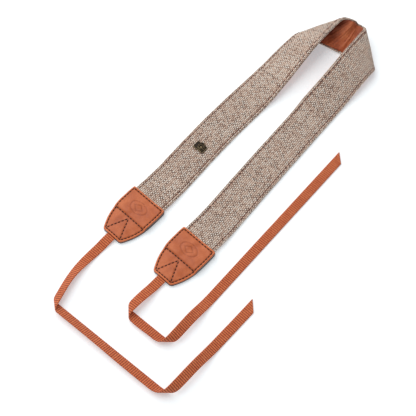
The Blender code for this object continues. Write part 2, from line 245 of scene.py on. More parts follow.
# Stud, shaped like a small camera
STUD_WIDTH = 0.0130
STUD_HEIGHT = 0.0088
STUD_CORNER = 0.0016
STUD_CORNER_POINTS = 8
STUD_FINDER_HALF = 0.0026
STUD_FINDER_RISE = 0.00156
STUD_FINDER_OUTLINE = ((1.0, 0.0), (0.75, 0.8), (0.55, 1.0))
STUD_LENS_RADIUS = 0.0039
STUD_LENS_ASIDE = 0.0012
STUD_LENS_SEAT = 0.0008
STUD_LENS_RISE = 0.0016
STUD_LENS_SIDES = 48
STUD_LEVELS = (
    # inset   height   rubbed
    (0.0, 0.0, 0),
    (0.0, 0.00085, 0),
    (0.00012, 0.00105, 1),
    (0.00030, 0.00118, 1),
    (0.00050, 0.00118, 0),
    (0.00085, 0.00080, 0),
    (0.00110, 0.00090, 0),
)
STUD_LENS_PROFILE = (
    # radius  rise  rubbed
    (1.00, -0.20, 0),
    (1.00, 0.50, 0),
    (0.97, 0.66, 1),
    (0.90, 0.70, 0),
    (0.82, 0.60, 0),
    (0.74, 0.30, 0),
    (0.68, 0.90, 0),
    (0.64, 1.02, 1),
    (0.56, 1.02, 0),
    (0.48, 0.85, 0),
    (0.38, 0.55, 0),
    (0.30, 0.62, 0),
    (0.22, 0.80, 1),
    (0.10, 0.90, 1),
)

# Yarns: size of the threads, how much they wander, shares of fleck, over and thread in their
# tone, relief, colours from dark to light
TWEED_ROW = 0.00190
TWEED_PICK = 0.00131
TWEED_SLUB = 0.32
TWEED_TONE = (0.46, 0.34, 0.20)
TWEED_FUZZ = 0.45
TWEED_RELIEF = 0.0005
TWEED_YARNS = ((0.10, (0.18, 0.088, 0.062)), (0.34, (0.61, 0.415, 0.320)),
               (0.58, (0.96, 0.75, 0.60)), (0.84, (1.0, 0.93, 0.82)))
TWEED_CLOUD = (0.52, 0.38, 0.30)
# Painted shade between the tweed's threads and rows, and along its stitch lines
TWEED_GAP_SHADE = (0.18, 0.10, 0.075)
TWEED_SEAM_SHADE = (0.80, 0.56, 0.48)
WEBBING_THREAD = 0.00052
WEBBING_SLUB = 0.12
WEBBING_TONE = (0.45, 0.0, 0.35)
WEBBING_RIB = 1.2
WEBBING_RELIEF = 0.00016
WEBBING_YARNS = ((0.0, (0.58, 0.120, 0.041)), (0.4, (0.75, 0.178, 0.062)),
                 (0.8, (0.94, 0.31, 0.13)))
# Painted shade in the valleys between the webbing's ribs
WEBBING_VALLEY_SHADE = (0.40, 0.28, 0.24)
BAND_THREAD = ((0.3, (0.050, 0.014, 0.010)), (0.7, (0.15, 0.045, 0.030)))
PATCH_THREAD = ((0.3, (0.012, 0.004, 0.003)), (0.7, (0.045, 0.012, 0.008)))
THREAD_RELIEF = 0.0001

# Noise, in waves per metre
WANDER_SCALE = 260.0
FIBRE_SCALE = 2600.0
TWEED_CLOUD_SCALE = 45.0
STRAND_SCALE = 2200.0
PATINA_SCALE = 900.0
TABLE_CLOUD_SCALE = 6.0

# Leathers: colours from deep to pale, roughness, size of grain and of clouds, relief
LINING_LEATHER = ((0.28, 0.054, 0.017), (0.50, 0.120, 0.042), (0.72, 0.220, 0.085),
                  0.46, 0.0010, 0.014, 0.00006)
PATCH_TOP_LEATHER = ((0.45, 0.098, 0.029), (0.55, 0.134, 0.042), (0.66, 0.185, 0.068),
                     0.40, 0.0007, 0.012, 0.00010)
# Tint of the painted shade in grooves, in the ornament and in the lining's painted shadow
LEATHER_SHADE_TINT = (0.50, 0.38, 0.33)
EDGE_PAINT = ((0.3, (0.030, 0.012, 0.009)), (0.7, (0.085, 0.030, 0.018)))
EDGE_GRAIN = 0.0005
EDGE_CLOUD = 0.006
EDGE_RELIEF = 0.0001

# Bronze of the stud
BRONZE = ((0.35, (0.010, 0.007, 0.005)), (0.65, (0.028, 0.019, 0.013)))
BRONZE_RUBBED = (0.50, 0.37, 0.20)
BRONZE_RELIEF = 0.00006

# Table and light: a lit white table under a large soft window
TABLE_HALF = 3.0
TABLE_TOP = -0.0002
TABLE_WHITES = ((0.3, (0.87, 0.905, 0.92)), (0.7, (0.90, 0.932, 0.94)))
TABLE_GLOW_COLOUR = (0.92, 0.965, 1.0)
TABLE_GLOW = 0.30
ROOM_COLOUR = (0.93, 0.96, 1.0)
ROOM_LIGHT = 0.40
LAMPS = (
    # name, place, size, power, colour
    ("key_window", (-0.95, 0.05, 1.35), 2.0, 26.0, (1.0, 0.985, 0.965)),
    ("fill_window", (0.9, 0.9, 1.3), 1.2, 1.5, (0.95, 0.97, 1.0)),
)


# Camera

def new_object(name, data):
    made = bpy.data.objects.new(name, data)
    bpy.context.scene.collection.objects.link(made)
    return made


def make_camera():
    azimuth = math.radians(CAMERA_AZIMUTH)
    elevation = math.radians(CAMERA_ELEVATION)
    back = Vector((math.sin(azimuth) * math.cos(elevation),
                   -math.cos(azimuth) * math.cos(elevation), math.sin(elevation)))
    aim = Vector((RIGHT_PATCH_TOP[0] + AIM_FROM_RIGHT_PATCH[0],
                  RIGHT_PATCH_TOP[1] + AIM_FROM_RIGHT_PATCH[1], 0.0))
    lens = bpy.data.cameras.new("photo_camera")
    lens.sensor_width = CAMERA_SENSOR
    lens.lens = CAMERA_LENS
    lens.clip_start = CAMERA_NEAR
    camera = new_object("photo_camera", lens)
    camera.location = aim + back * CAMERA_DISTANCE
    camera.rotation_euler = (-back).to_track_quat("-Z", "Y").to_euler()
    bpy.context.scene.camera = camera


make_camera()


# How the strips lie

def eased(x):
    x = np.clip(x, 0.0, 1.0)
    return x - np.sin(2 * np.pi * x) / (2 * np.pi)


def part_of(x, start, start_run, end, end_run):
    # 1 inside a part, eased in from its start and out from its end
    return eased((x - start) / start_run) * (1 - eased((x - end) / end_run))


def waves(along, across, slant, seed, lengths, size):
    luck = np.random.default_rng(seed)
    place = along + across * slant
    total = np.zeros_like(place)
    for length in lengths:
        total += np.sin(2 * np.pi * place / length + luck.uniform(0, 2 * np.pi))
    return total * size / len(lengths)


def turned(axis, angles):
    # Rotation matrices about one axis, one for each angle
    x, y, z = axis
    cross = np.array([[0.0, -z, y], [z, 0.0, -x], [-y, x, 0.0]])
    outer = np.outer(axis, axis)
    sin = np.sin(angles)[:, None, None]
    cos = np.cos(angles)[:, None, None]
    return cos * np.eye(3) + sin * cross + (1 - cos) * outer


class Run:
    """A flat strip that lies on the table: its outer edge, and the lines across it."""

    def __init__(self, start, heading, length, bends, width, thickness, laps, settle, rise):
        s = np.linspace(-laps[0], length + laps[1], PATH_SAMPLES)
        turn = np.full_like(s, math.radians(heading))
        body = np.repeat(np.eye(3)[None], len(s), axis=0)
        level = np.eye(3)[None]
        folds = []
        for at, over, turn_by, twist_by, crease in bends:
            done = eased((s / length - at) / over + 0.5)
            turn += math.radians(turn_by) * done
            axis, angle = (1.0, 0.0, 0.0), math.radians(twist_by)
            if crease:
                # The fold is as deep as leaves the strip level along its length again
                lie = math.radians(crease)
                up_across, up_normal = level[0, 2, 1], level[0, 2, 2]
                axis = (math.cos(lie), math.sin(lie), 0.0)
                angle = 2 * math.atan2(abs(up_normal), abs(up_across * math.cos(lie)))
                folds.append((at * length, over * length, 1 / math.tan(lie)))
            body = body @ turned(axis, angle * done)
            level = level @ turned(axis, np.array([angle]))
        body = turned((0.0, 0.0, 1.0), turn) @ body
        self.s, self.length, self.width = s, length, width
        self.travel, self.inward, self.normal = body[:, :, 0], body[:, :, 1], body[:, :, 2]
        self.slant = self.lines_across(folds)
        edge = np.vstack([np.zeros(3), np.cumsum(
            (self.travel[1:] + self.travel[:-1]) / 2 * np.diff(s)[:, None], axis=0)])
        edge -= [np.interp(0.0, s, edge[:, i]) for i in range(3)]
        edge[:, :2] += start + np.array([math.sin(turn[0]), -math.cos(turn[0])]) * width / 2
        edge[:, 2] = self.edge_height(edge[:, 2], folds, thickness, laps, settle, rise)
        self.edge = edge

    def lines_across(self, folds):
        # Slant of the lines across: square on the arms, along the crease in each fold
        (at_1, run_1, lie_1), (at_2, run_2, lie_2) = folds
        fan = FAN_SHARE * self.width
        knots = [at_1 - run_1 / 2 - fan, at_1 - run_1 / 4, at_1 + run_1 / 4,
                 at_2 - run_2 / 4, at_2 + run_2 / 4, at_2 + run_2 / 2 + fan]
        slant = np.interp(self.s, knots, [0.0, lie_1, lie_1, lie_2, lie_2, 0.0])
        reach = max(3, int(BLEND_SHARE * self.width / (self.s[1] - self.s[0])))
        weights = np.hanning(2 * reach + 1)
        weights /= weights.sum()
        return np.convolve(np.pad(slant, reach, mode="edge"), weights, mode="valid")

    def edge_height(self, fallen, folds, thickness, laps, settle, rise):
        # The run between the folds lies lowest; the arms come down to the table beyond them
        (at_1, run_1, _), (at_2, run_2, _) = folds
        middle = (at_1 + run_1 / 2 + at_2 - run_2 / 2) / 2
        lifted = fallen - np.interp(middle, self.s, fallen)
        climb = min(rise, at_1 - run_1 / 2)
        lifted = lifted * part_of(self.s, at_1 - run_1 / 2 - climb, climb,
                                  at_2 + run_2 / 2, rise)
        held = 1 - eased(self.s / settle)
        if laps[1] > 0:
            held = held + eased((self.s - self.length + settle) / settle)
        rest = thickness / 2 * np.sqrt(self.normal[:, 2] ** 2 + STEEP_REST)
        return np.maximum(lifted, 0.0) + rest + PATCH_LIFT * held

    def frames(self, s):
        # Middle points, directions of travel, lines across towards the inner edge, normals
        travel, inward, normal, edge = (
            np.stack([np.interp(s, self.s, rows[:, i]) for i in range(3)], axis=-1)
            for rows in (self.travel, self.inward, self.normal, self.edge))
        across = inward + travel * np.interp(s, self.s, self.slant)[..., None]
        return edge + across * self.width / 2, travel, across, normal

    def true_along(self, s, across):
        # Length along the cloth itself, where the lines across are slanted
        return s + np.interp(s, self.s, self.slant) * (across + self.width / 2)

    def cut_shift(self, s, across, cut):
        # How far the slanted cut moves a place along the strip, near the strip's end
        return across * cut * eased((s - self.length) / CUT_RUN + 1)

    def points(self, s, across, height, cut=0.0):
        # Points of the strip, from their places along it, across it and above its middle
        middle, travel, inward, normal = self.frames(s)
        return (middle + inward * across[..., None] + normal * height[..., None]
                + travel * self.cut_shift(s, across, cut)[..., None])


# Mesh helpers

def link(name, mesh, finishes, replaced=()):
    piece = new_object(name, mesh)
    for finish in finishes:
        mesh.materials.append(finish)
    mesh.shade_smooth()
    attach(piece, "root")
    if replaced:
        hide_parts(*replaced)
    return piece


def closed_mesh(name, vertices, faces, finishes=None, cloth=None):
    # A mesh turned outwards. Each face can have the number of its finish, and each corner of
    # a face its place on the flat cloth, in metres
    mesh = bpy.data.meshes.new(name)
    mesh.from_pydata([tuple(v) for v in vertices], [], faces)
    if finishes:
        mesh.polygons.foreach_set("material_index", finishes)
    if cloth:
        layer = mesh.uv_layers.new(name="cloth")
        layer.uv.foreach_set("vector", np.array(cloth, dtype=np.float32).ravel())
    shape = bmesh.new()
    shape.from_mesh(mesh)
    bmesh.ops.recalc_face_normals(shape, faces=shape.faces)
    shape.to_mesh(mesh)
    shape.free()
    return mesh


def mark_points(mesh, name, values):
    # A value for each point, which the materials turn into a tint
    layer = mesh.attributes.new(name, "FLOAT", "POINT")
    layer.data.foreach_set("value", np.ravel(values).astype(float))


def tube_faces(rings, size, first=0):
    # Sides and end caps of a closed tube made of rings of points
    faces = []
    for a in range(first, first + (rings - 1) * size, size):
        for k in range(size):
            n = (k + 1) % size
            faces.append((a + k, a + n, a + size + n, a + size + k))
    last = first + (rings - 1) * size
    return faces + [tuple(range(first + size - 1, first - 1, -1)),
                    tuple(range(last, last + size))]


def strip_grid(s, section):
    # Places along a strip, across it and above its middle, for all points of all sections
    shape = (len(s), len(section))
    return (np.broadcast_to(s[:, None], shape), np.broadcast_to(section[:, 0], shape),
            np.broadcast_to(section[:, 1], shape))


def strip_mesh(name, rings, along, section):
    # A strip from its rings of points (rows, points, 3), with its cloth laid out flat
    rows, size = rings.shape[:2]
    steps = np.diff(np.vstack([section, section[:1]]), axis=0)
    around = np.concatenate([[0.0], np.cumsum(np.hypot(*steps.T))])
    cloth = []
    for row in range(rows - 1):
        for i in range(size):
            j = (i + 1) % size
            cloth += [(along[row, i], around[i]), (along[row, j], around[i + 1]),
                      (along[row + 1, j], around[i + 1]), (along[row + 1, i], around[i])]
    cloth += [(along[0, i], around[i]) for i in range(size)][::-1]
    cloth += [(along[-1, i], around[i]) for i in range(size)]
    return closed_mesh(name, rings.reshape(-1, 3), tube_faces(rows, size), cloth=cloth)


def arc(centre, radius, first, last, steps):
    angles = np.radians(np.linspace(first, last, steps))
    return [(centre[0] + radius * math.cos(a), centre[1] + radius * math.sin(a))
            for a in angles]


def circle(sides):
    angles = [2 * math.pi * k / sides for k in range(sides)]
    return [(math.cos(angle), math.sin(angle)) for angle in angles]


def stitch_mesh(name, starts, ends, lifts, radius):
    # Threads: a row of small tapered loops, each from a start to an end
    vertices, faces = [], []
    for start, end, lift in zip(starts, ends, lifts):
        start, end, lift = Vector(start), Vector(end), Vector(lift).normalized()
        run = end - start
        side = run.normalized().cross(lift).normalized()
        faces += tube_faces(len(STITCH_PROFILE), STITCH_SIDES, len(vertices))
        for share, wide, high in STITCH_PROFILE:
            middle = start + run * share + lift * radius * (high - 0.5)
            vertices += [middle + (side * x + lift * y) * radius * wide
                         for x, y in circle(STITCH_SIDES)]
    return closed_mesh(name, vertices, faces)


# Shader helpers

class Nodes:
    """Short calls that add and join the nodes of one tree."""

    def __init__(self, tree):
        self.tree = tree

    def add(self, kind, inputs=None, **settings):
        node = self.tree.nodes.new(kind)
        for name, value in settings.items():
            setattr(node, name, value)
        for name, value in (inputs or {}).items():
            self.feed(node.inputs[name], value)
        return node

    def feed(self, socket, value):
        if isinstance(value, bpy.types.NodeSocket):
            self.tree.links.new(value, socket)
        else:
            socket.default_value = (*value, 1.0) if socket.type == "RGBA" else value

    def math(self, operation, a, b=0.0, c=0.0):
        return self.add("ShaderNodeMath", {0: a, 1: b, 2: c}, operation=operation).outputs[0]

    def mix(self, factor, a, b):
        return self.add("ShaderNodeMix", {0: factor, 2: a, 3: b}, data_type="FLOAT").outputs[0]

    def mix_colour(self, factor, a, b, blend="MIX"):
        return self.add("ShaderNodeMix", {0: factor, 6: a, 7: b}, data_type="RGBA",
                        blend_type=blend).outputs[2]

    def tinted(self, colour, tint):
        return self.mix_colour(1.0, colour, tint, "MULTIPLY")

    def ramp(self, factor, stops):
        node = self.add("ShaderNodeValToRGB", {"Fac": factor})
        line = node.color_ramp
        while len(line.elements) < len(stops):
            line.elements.new(0.5)
        for element, (place, colour) in zip(line.elements, stops):
            element.position = place
            element.color = (*colour, 1.0)
        return node.outputs["Color"]

    def span(self, value, low, high, to_low=0.0, to_high=1.0):
        return self.add("ShaderNodeMapRange", {
            "Value": value, "From Min": low, "From Max": high,
            "To Min": to_low, "To Max": to_high}).outputs["Result"]

    def noise(self, place, scale, detail=2.0, roughness=0.5, dimensions="3D"):
        return self.add("ShaderNodeTexNoise", {
            "Vector": place, "Scale": scale, "Detail": detail, "Roughness": roughness},
            noise_dimensions=dimensions).outputs["Fac"]

    def chance(self, place, socket, dimensions):
        return self.add("ShaderNodeTexWhiteNoise", {socket: place},
                        noise_dimensions=dimensions).outputs["Value"]

    def cloth_place(self):
        return self.add("ShaderNodeUVMap", uv_map="cloth").outputs[0]

    def object_place(self):
        return self.add("ShaderNodeTexCoord").outputs["Object"]

    def marked(self, name):
        return self.add("ShaderNodeAttribute", attribute_name=name).outputs["Fac"]

    def group(self, tree, values):
        node = self.add("ShaderNodeGroup", node_tree=tree)
        for name, value in values.items():
            self.feed(node.inputs[name], value)
        return node.outputs

    def bump(self, shader, height, distance):
        node = self.add("ShaderNodeBump", {"Height": height, "Distance": distance})
        self.feed(shader.inputs["Normal"], node.outputs["Normal"])


def new_group(name, inputs, outputs):
    tree = bpy.data.node_groups.new(name, "ShaderNodeTree")
    for title, kind, value in inputs:
        socket = tree.interface.new_socket(title, in_out="INPUT", socket_type="NodeSocket" + kind)
        if value is not None:
            socket.default_value = value
    for title in outputs:
        tree.interface.new_socket(title, in_out="OUTPUT", socket_type="NodeSocketFloat")
    n = Nodes(tree)
    return tree, n, n.add("NodeGroupInput").outputs, n.add("NodeGroupOutput").inputs


def woven_threads_group():
    # Plain weave from places laid out in metres: threads along and across, one over the other
    tree, n, given, out = new_group(
        "Woven threads",
        [("Place", "Vector", None), ("Thread Along", "Float", 0.001),
         ("Thread Across", "Float", 0.001), ("Slub", "Float", 0.2)],
        ["Height", "Thread Tone", "Fleck", "Over", "Row"])
    split = n.add("ShaderNodeSeparateXYZ", {"Vector": given["Place"]}).outputs
    wander = n.noise(given["Place"], WANDER_SCALE, dimensions="2D")
    drift = n.math("MULTIPLY", n.math("SUBTRACT", wander, 0.5), given["Slub"])
    along = n.math("ADD", n.math("DIVIDE", split["X"], given["Thread Across"]), drift)
    across = n.math("ADD", n.math("DIVIDE", split["Y"], given["Thread Along"]), drift)
    pick, end = n.math("FLOOR", along), n.math("FLOOR", across)
    in_pick, in_end = n.math("FRACT", along), n.math("FRACT", across)
    over = n.math("FLOORED_MODULO", n.math("ADD", pick, end), 2.0)
    arch_pick = n.math("SINE", n.math("MULTIPLY", in_pick, math.pi))
    arch_end = n.math("SINE", n.math("MULTIPLY", in_end, math.pi))
    warp = n.math("MULTIPLY", arch_end, n.math("MULTIPLY_ADD", arch_pick, 0.5, 0.5))
    weft = n.math("MULTIPLY", arch_pick, n.math("MULTIPLY_ADD", arch_end, 0.5, 0.5))
    # The weft's tones start far from the warp's, so that the two differ
    tone_warp = n.chance(end, "W", "1D")
    tone_weft = n.chance(n.math("ADD", pick, 517.3), "W", "1D")
    cell = n.add("ShaderNodeCombineXYZ", {"X": pick, "Y": end}).outputs[0]
    n.feed(out["Height"], n.mix(over, weft, warp))
    n.feed(out["Thread Tone"], n.mix(over, tone_weft, tone_warp))
    n.feed(out["Fleck"], n.chance(cell, "Vector", "2D"))
    n.feed(out["Over"], over)
    n.feed(out["Row"], arch_end)
    return tree


def leather_grain_group():
    # Pebbled grain, fine pores and slow cloudiness of leather
    tree, n, given, out = new_group(
        "Leather grain",
        [("Place", "Vector", None), ("Grain Size", "Float", 0.0009),
         ("Cloud Size", "Float", 0.02)],
        ["Height", "Cloud", "Crease"])
    fine = n.math("DIVIDE", 1.0, given["Grain Size"])
    cells = n.add("ShaderNodeTexVoronoi", {"Vector": given["Place"], "Scale": fine},
                  feature="SMOOTH_F1").outputs["Distance"]
    pores = n.noise(given["Place"], n.math("MULTIPLY", fine, 2.2))
    clouds = n.noise(given["Place"], n.math("DIVIDE", 1.0, given["Cloud Size"]), 3.0, 0.6)
    n.feed(out["Height"], n.math("MULTIPLY_ADD", pores, 0.4, n.math("SUBTRACT", 0.7, cells)))
    n.feed(out["Cloud"], clouds)
    n.feed(out["Crease"], n.span(cells, 0.35, 0.75))
    return tree


WEAVE = woven_threads_group()
GRAIN = leather_grain_group()


# Materials

def new_material(name, values):
    made = bpy.data.materials.new(name)
    made.use_nodes = True
    n = Nodes(made.node_tree)
    shader = made.node_tree.nodes["Principled BSDF"]
    for title, value in values.items():
        n.feed(shader.inputs[title], value)
    return made, n, shader


def yarn_tone(n, weave, shares):
    # How light each crossing of threads is: its own fleck, which thread is over, that thread
    fleck, over, thread = shares
    return n.math("MULTIPLY_ADD", weave["Fleck"], fleck,
                  n.math("MULTIPLY_ADD", weave["Over"], over,
                         n.math("MULTIPLY", weave["Thread Tone"], thread)))


def tweed_material():
    made, n, shader = new_material("tweed", {
        "Roughness": 0.95, "Specular IOR Level": 0.15, "Sheen Weight": 0.15,
        "Sheen Roughness": 0.5})
    place = n.cloth_place()
    weave = n.group(WEAVE, {"Place": place, "Thread Along": TWEED_ROW,
                            "Thread Across": TWEED_PICK, "Slub": TWEED_SLUB})
    fibres = n.noise(place, FIBRE_SCALE, dimensions="2D")
    tone = n.math("ADD", yarn_tone(n, weave, TWEED_TONE), n.span(fibres, 0.2, 0.8, -0.14, 0.14))
    clouds = n.span(n.noise(place, TWEED_CLOUD_SCALE, dimensions="2D"), 0.3, 0.7, 0.0, 0.12)
    cloudy = n.mix_colour(clouds, n.ramp(tone, TWEED_YARNS), TWEED_CLOUD)
    # Shade is painted into the gaps between threads and between rows
    yarn = n.math("MULTIPLY", n.span(weave["Row"], 0.12, 0.75, 0.14, 1.0),
                  n.span(weave["Height"], 0.05, 0.45, 0.35, 1.0))
    shaded = n.mix_colour(yarn, n.tinted(cloudy, TWEED_GAP_SHADE), cloudy)
    # Shade is painted along the stitch lines, where the tweed dips
    n.feed(shader.inputs["Base Color"], n.mix_colour(n.marked("painted_shade"), shaded,
                                                     n.tinted(shaded, TWEED_SEAM_SHADE)))
    n.bump(shader, n.math("MULTIPLY_ADD", fibres, TWEED_FUZZ, weave["Height"]), TWEED_RELIEF)
    return made


def webbing_material():
    made, n, shader = new_material("webbing", {
        "Roughness": 0.72, "Specular IOR Level": 0.3, "Sheen Weight": 0.1})
    place = n.cloth_place()
    weave = n.group(WEAVE, {"Place": place, "Thread Along": WEBBING_THREAD,
                            "Thread Across": RIB_PITCH / 2, "Slub": WEBBING_SLUB})
    split = n.add("ShaderNodeSeparateXYZ", {"Vector": place}).outputs
    rib = n.math("ABSOLUTE", n.math("SINE", n.math("MULTIPLY", split["X"],
                                                   math.pi / RIB_PITCH)))
    threads = n.ramp(yarn_tone(n, weave, WEBBING_TONE), WEBBING_YARNS)
    # Shade is painted into the valleys between the ribs
    n.feed(shader.inputs["Base Color"], n.mix_colour(
        n.span(rib, 0.25, 0.85), n.tinted(threads, WEBBING_VALLEY_SHADE), threads))
    n.bump(shader, n.math("MULTIPLY_ADD", rib, WEBBING_RIB, weave["Height"]), WEBBING_RELIEF)
    return made


def leather_material(name, deep, middle, pale, roughness, grain, cloud, relief):
    made, n, shader = new_material(name, {"Specular IOR Level": 0.32})
    skin = n.group(GRAIN, {"Place": n.object_place(), "Grain Size": grain,
                           "Cloud Size": cloud})
    body = n.ramp(skin["Cloud"], ((0.30, deep), (0.50, middle), (0.72, pale)))
    lines = n.mix_colour(n.math("MULTIPLY", skin["Crease"], 0.35), body, deep)
    # Colour made lighter where a piece is marked raised, along a patch's rolled border
    lightened = tuple(min(1.0, c * 1.25) for c in pale)
    lines = n.mix_colour(n.math("MULTIPLY", n.marked("raised"), 0.75), lines, lightened)
    # Shade is painted where a piece is marked: stitch grooves, ornament, the lining's shadow and
    # buckle valleys
    n.feed(shader.inputs["Base Color"], n.mix_colour(
        n.marked("painted_shade"), lines, n.tinted(lines, LEATHER_SHADE_TINT)))
    n.feed(shader.inputs["Roughness"], n.span(skin["Cloud"], 0.3, 0.7, roughness - 0.08,
                                              roughness + 0.10))
    n.bump(shader, skin["Height"], relief)
    return made


def edge_material():
    made, n, shader = new_material("painted leather edge", {"Roughness": 0.5})
    skin = n.group(GRAIN, {"Place": n.object_place(), "Grain Size": EDGE_GRAIN,
                           "Cloud Size": EDGE_CLOUD})
    n.feed(shader.inputs["Base Color"], n.ramp(skin["Cloud"], EDGE_PAINT))
    n.bump(shader, skin["Height"], EDGE_RELIEF)
    return made


def thread_material(name, colours):
    made, n, shader = new_material(name, {"Roughness": 0.8})
    strands = n.noise(n.object_place(), STRAND_SCALE)
    n.feed(shader.inputs["Base Color"], n.ramp(strands, colours))
    n.bump(shader, strands, THREAD_RELIEF)
    return made


def bronze_material():
    made, n, shader = new_material("old bronze", {"Metallic": 0.85})
    patina = n.noise(n.object_place(), PATINA_SCALE, 4.0)
    lightened = n.math("MULTIPLY", n.marked("raised"), n.span(patina, 0.38, 0.60, 0.30, 0.95))
    n.feed(shader.inputs["Base Color"], n.mix_colour(lightened, n.ramp(patina, BRONZE),
                                                     BRONZE_RUBBED))
    n.feed(shader.inputs["Roughness"], n.span(patina, 0.3, 0.7, 0.30, 0.50))
    n.bump(shader, patina, BRONZE_RELIEF)
    return made


# Band

def face_top(x):
    # Height of the band's upper side over its middle, in from the rounded edge
    half = BAND_WIDTH / 2
    reach = half - np.abs(x)
    short = np.maximum(FACE_ROUND - reach, 0)
    rounded = FACE_ROUND - np.sqrt(np.maximum(FACE_ROUND ** 2 - short ** 2, 0))
    crown = FACE_CROWN * (x / half) ** 2
    dip = DIP_DEPTH * np.exp(-((reach - BAND_STITCH_INSET) / DIP_SPREAD) ** 2)
    return BAND_THICKNESS / 2 - rounded - crown - dip


def cloth_puff(s, x):
    # Slight unevenness of the padded cloth
    return waves(s, x, *CLOTH_PUFF) * np.clip((BAND_WIDTH / 2 - np.abs(x)) / PUFF_FADE, 0, 1)


def band_places():
    return np.linspace(-BAND_LAP, BAND_SPAN + BAND_LAP, BAND_ROWS)


def make_face(run, tweed):
    # The tweed, its long edges folded round as hems, open below where the lining lies
    half, floor = BAND_WIDTH / 2, -BAND_THICKNESS / 2
    seat = floor + BACKING_THICKNESS + GAP
    inner = half - HEM_WIDTH
    left = -half + np.array(FACE_STEPS)
    middle = np.linspace(left[-1], -left[-1], FACE_MIDDLE_COLUMNS)[1:-1]
    xs = np.concatenate([left, middle, -left[::-1]])
    hem = [(half, floor + HEM_ROUND)]
    hem += arc((half - HEM_ROUND, floor + HEM_ROUND), HEM_ROUND, -20, -90, 4)
    hem += [(inner, floor)]
    under = [(x, seat) for x in (inner, half / 2, 0.0, -half / 2, -inner)]
    section = np.vstack([np.stack([xs, face_top(xs)], axis=1), hem, under,
                         [(-x, z) for x, z in hem[::-1]]])
    upper = np.arange(len(section)) < len(xs)
    s, across, height = strip_grid(band_places(), section)
    loose = (s > PATCH_CLEAR) & (s < BAND_SPAN - PATCH_CLEAR)
    height = height + np.where(upper & loose, cloth_puff(s, across), 0.0)
    side = np.sign(across)
    outside = (np.abs(across) > inner + HEM_STRAIGHT) & loose
    across = across + np.where(outside, side * waves(s, side, *EDGE_WANDER), 0.0)
    mesh = strip_mesh("band_tweed", run.points(s, across, height), run.true_along(s, across),
                      section)
    reach = half - np.abs(across)
    # Shade is painted into the dip along the stitches
    seam = np.exp(-((reach - BAND_STITCH_INSET) / SEAM_SPREAD) ** 2) * upper
    mark_points(mesh, "painted_shade", seam * loose)
    face = link("band_tweed", mesh, [tweed], ("band_face",))


def make_lining(run, lining):
    # The lining between the hems, buckled on its outer side where the band folds
    floor = -BAND_THICKNESS / 2
    edge = BAND_WIDTH / 2 - HEM_WIDTH - GAP
    soft, top = LINING_SOFT, floor + BACKING_THICKNESS
    section = [(-edge, floor + soft)] + [(x, top) for x in np.linspace(-edge, edge, 7)]
    section += [(edge, floor + soft), (edge - soft, floor)]
    section += [(x, floor) for x in np.linspace(edge - LINING_MARGIN, LINING_MARGIN - edge,
                                                LINING_COLUMNS)]
    section = np.array(section + [(-edge + soft, floor)])
    lower = section[:, 1] < floor + soft / 2
    s, across, height = strip_grid(band_places(), section)
    away = np.clip((edge - np.abs(across)) / BUCKLE_FADE, 0, 1)
    loop = part_of(s / BAND_SPAN, *BUCKLED_PART)
    buckle = np.abs(waves(s, across, *LINING_BUCKLES))
    height = height - np.where(lower, buckle * loop * away, 0.0)
    mesh = strip_mesh("band_lining", run.points(s, across, height), run.true_along(s, across),
                      section)
    # A shadow is painted on the lining near the left fold, and shade is painted into the buckles'
    # valleys
    shade = part_of(s / BAND_SPAN, *SHADED_PART)
    valley = np.clip(1 - buckle / VALLEY_DEPTH, 0, 1) * loop
    mark_points(mesh, "painted_shade", np.clip(SHADE_TINT * shade + VALLEY_SHADE * valley, 0, 1))
    link("band_lining", mesh, [lining], ("band_backing",))


def make_band_stitches(run, thread):
    starts, ends, lifts = [], [], []
    for side in (-1, 1):
        across = np.full(2, side * (BAND_WIDTH / 2 - BAND_STITCH_INSET))
        place = BAND_STITCH_START
        while place + BAND_STITCH_LENGTH < BAND_SPAN:
            both = np.array([place, place + BAND_STITCH_LENGTH])
            high = face_top(across) + cloth_puff(both, across) + BAND_STITCH_LIFT
            start, end = run.points(both, across, high)
            starts.append(start)
            ends.append(end)
            lifts.append(run.frames(both)[3][0])
            place += BAND_STITCH_PITCH
    mesh = stitch_mesh("band_stitches", starts, ends, lifts, BAND_STITCH_RADIUS)
    link("band_stitches", mesh, [thread])


# Webbing straps

def make_strap(name, place, length, bends, webbing, node):
    start = place @ Vector((0.0, PATCH_LENGTH, 0.0))
    down = place.to_3x3() @ Vector((0.0, 1.0, 0.0))
    heading = math.degrees(math.atan2(down.y, down.x))
    run = Run((start.x, start.y), heading, length, bends, STRAP_WIDTH, STRAP_THICKNESS,
              (STRAP_LAP, 0.0), STRAP_SETTLE, STRAP_RISE)
    half, edge, soft = STRAP_WIDTH / 2, STRAP_THICKNESS / 2, STRAP_SOFT
    x_corner, z_corner = half - soft * STRAP_CORNER_SHARES[0], edge - soft * STRAP_CORNER_SHARES[1]
    upper = [(-half, soft - edge), (-half, edge - soft), (-x_corner, z_corner)]
    upper += [(x, edge) for x in np.linspace(-half + soft, half - soft, STRAP_COLUMNS)]
    upper = np.array(upper + [(x_corner, z_corner)])
    section = np.vstack([upper, -upper])
    rows = int((length + STRAP_LAP) / RIB_PITCH * RIB_ROWS_EACH)
    s, across, height = strip_grid(np.linspace(-STRAP_LAP, length, rows), section)
    cut = math.tan(math.radians(STRAP_CUT_ANGLE))
    along = run.true_along(s, across) + run.cut_shift(s, across, cut)
    valley = 1 - np.abs(np.sin(np.pi * along / RIB_PITCH))
    deep = np.where(height < 0, RIB_DEPTH_LOWER, RIB_DEPTH_UPPER)
    height = height * (1 - deep / edge * valley)
    outer = np.abs(across) > half - soft
    across = across - np.where(outer, np.sign(across) * RIB_DEPTH_SIDE * valley, 0.0)
    mesh = strip_mesh(name, run.points(s, across, height, cut), along, section)
    link(name, mesh, [webbing], (node,))


# Leather patches. On a patch a is the place across it, b the place along it from the band.

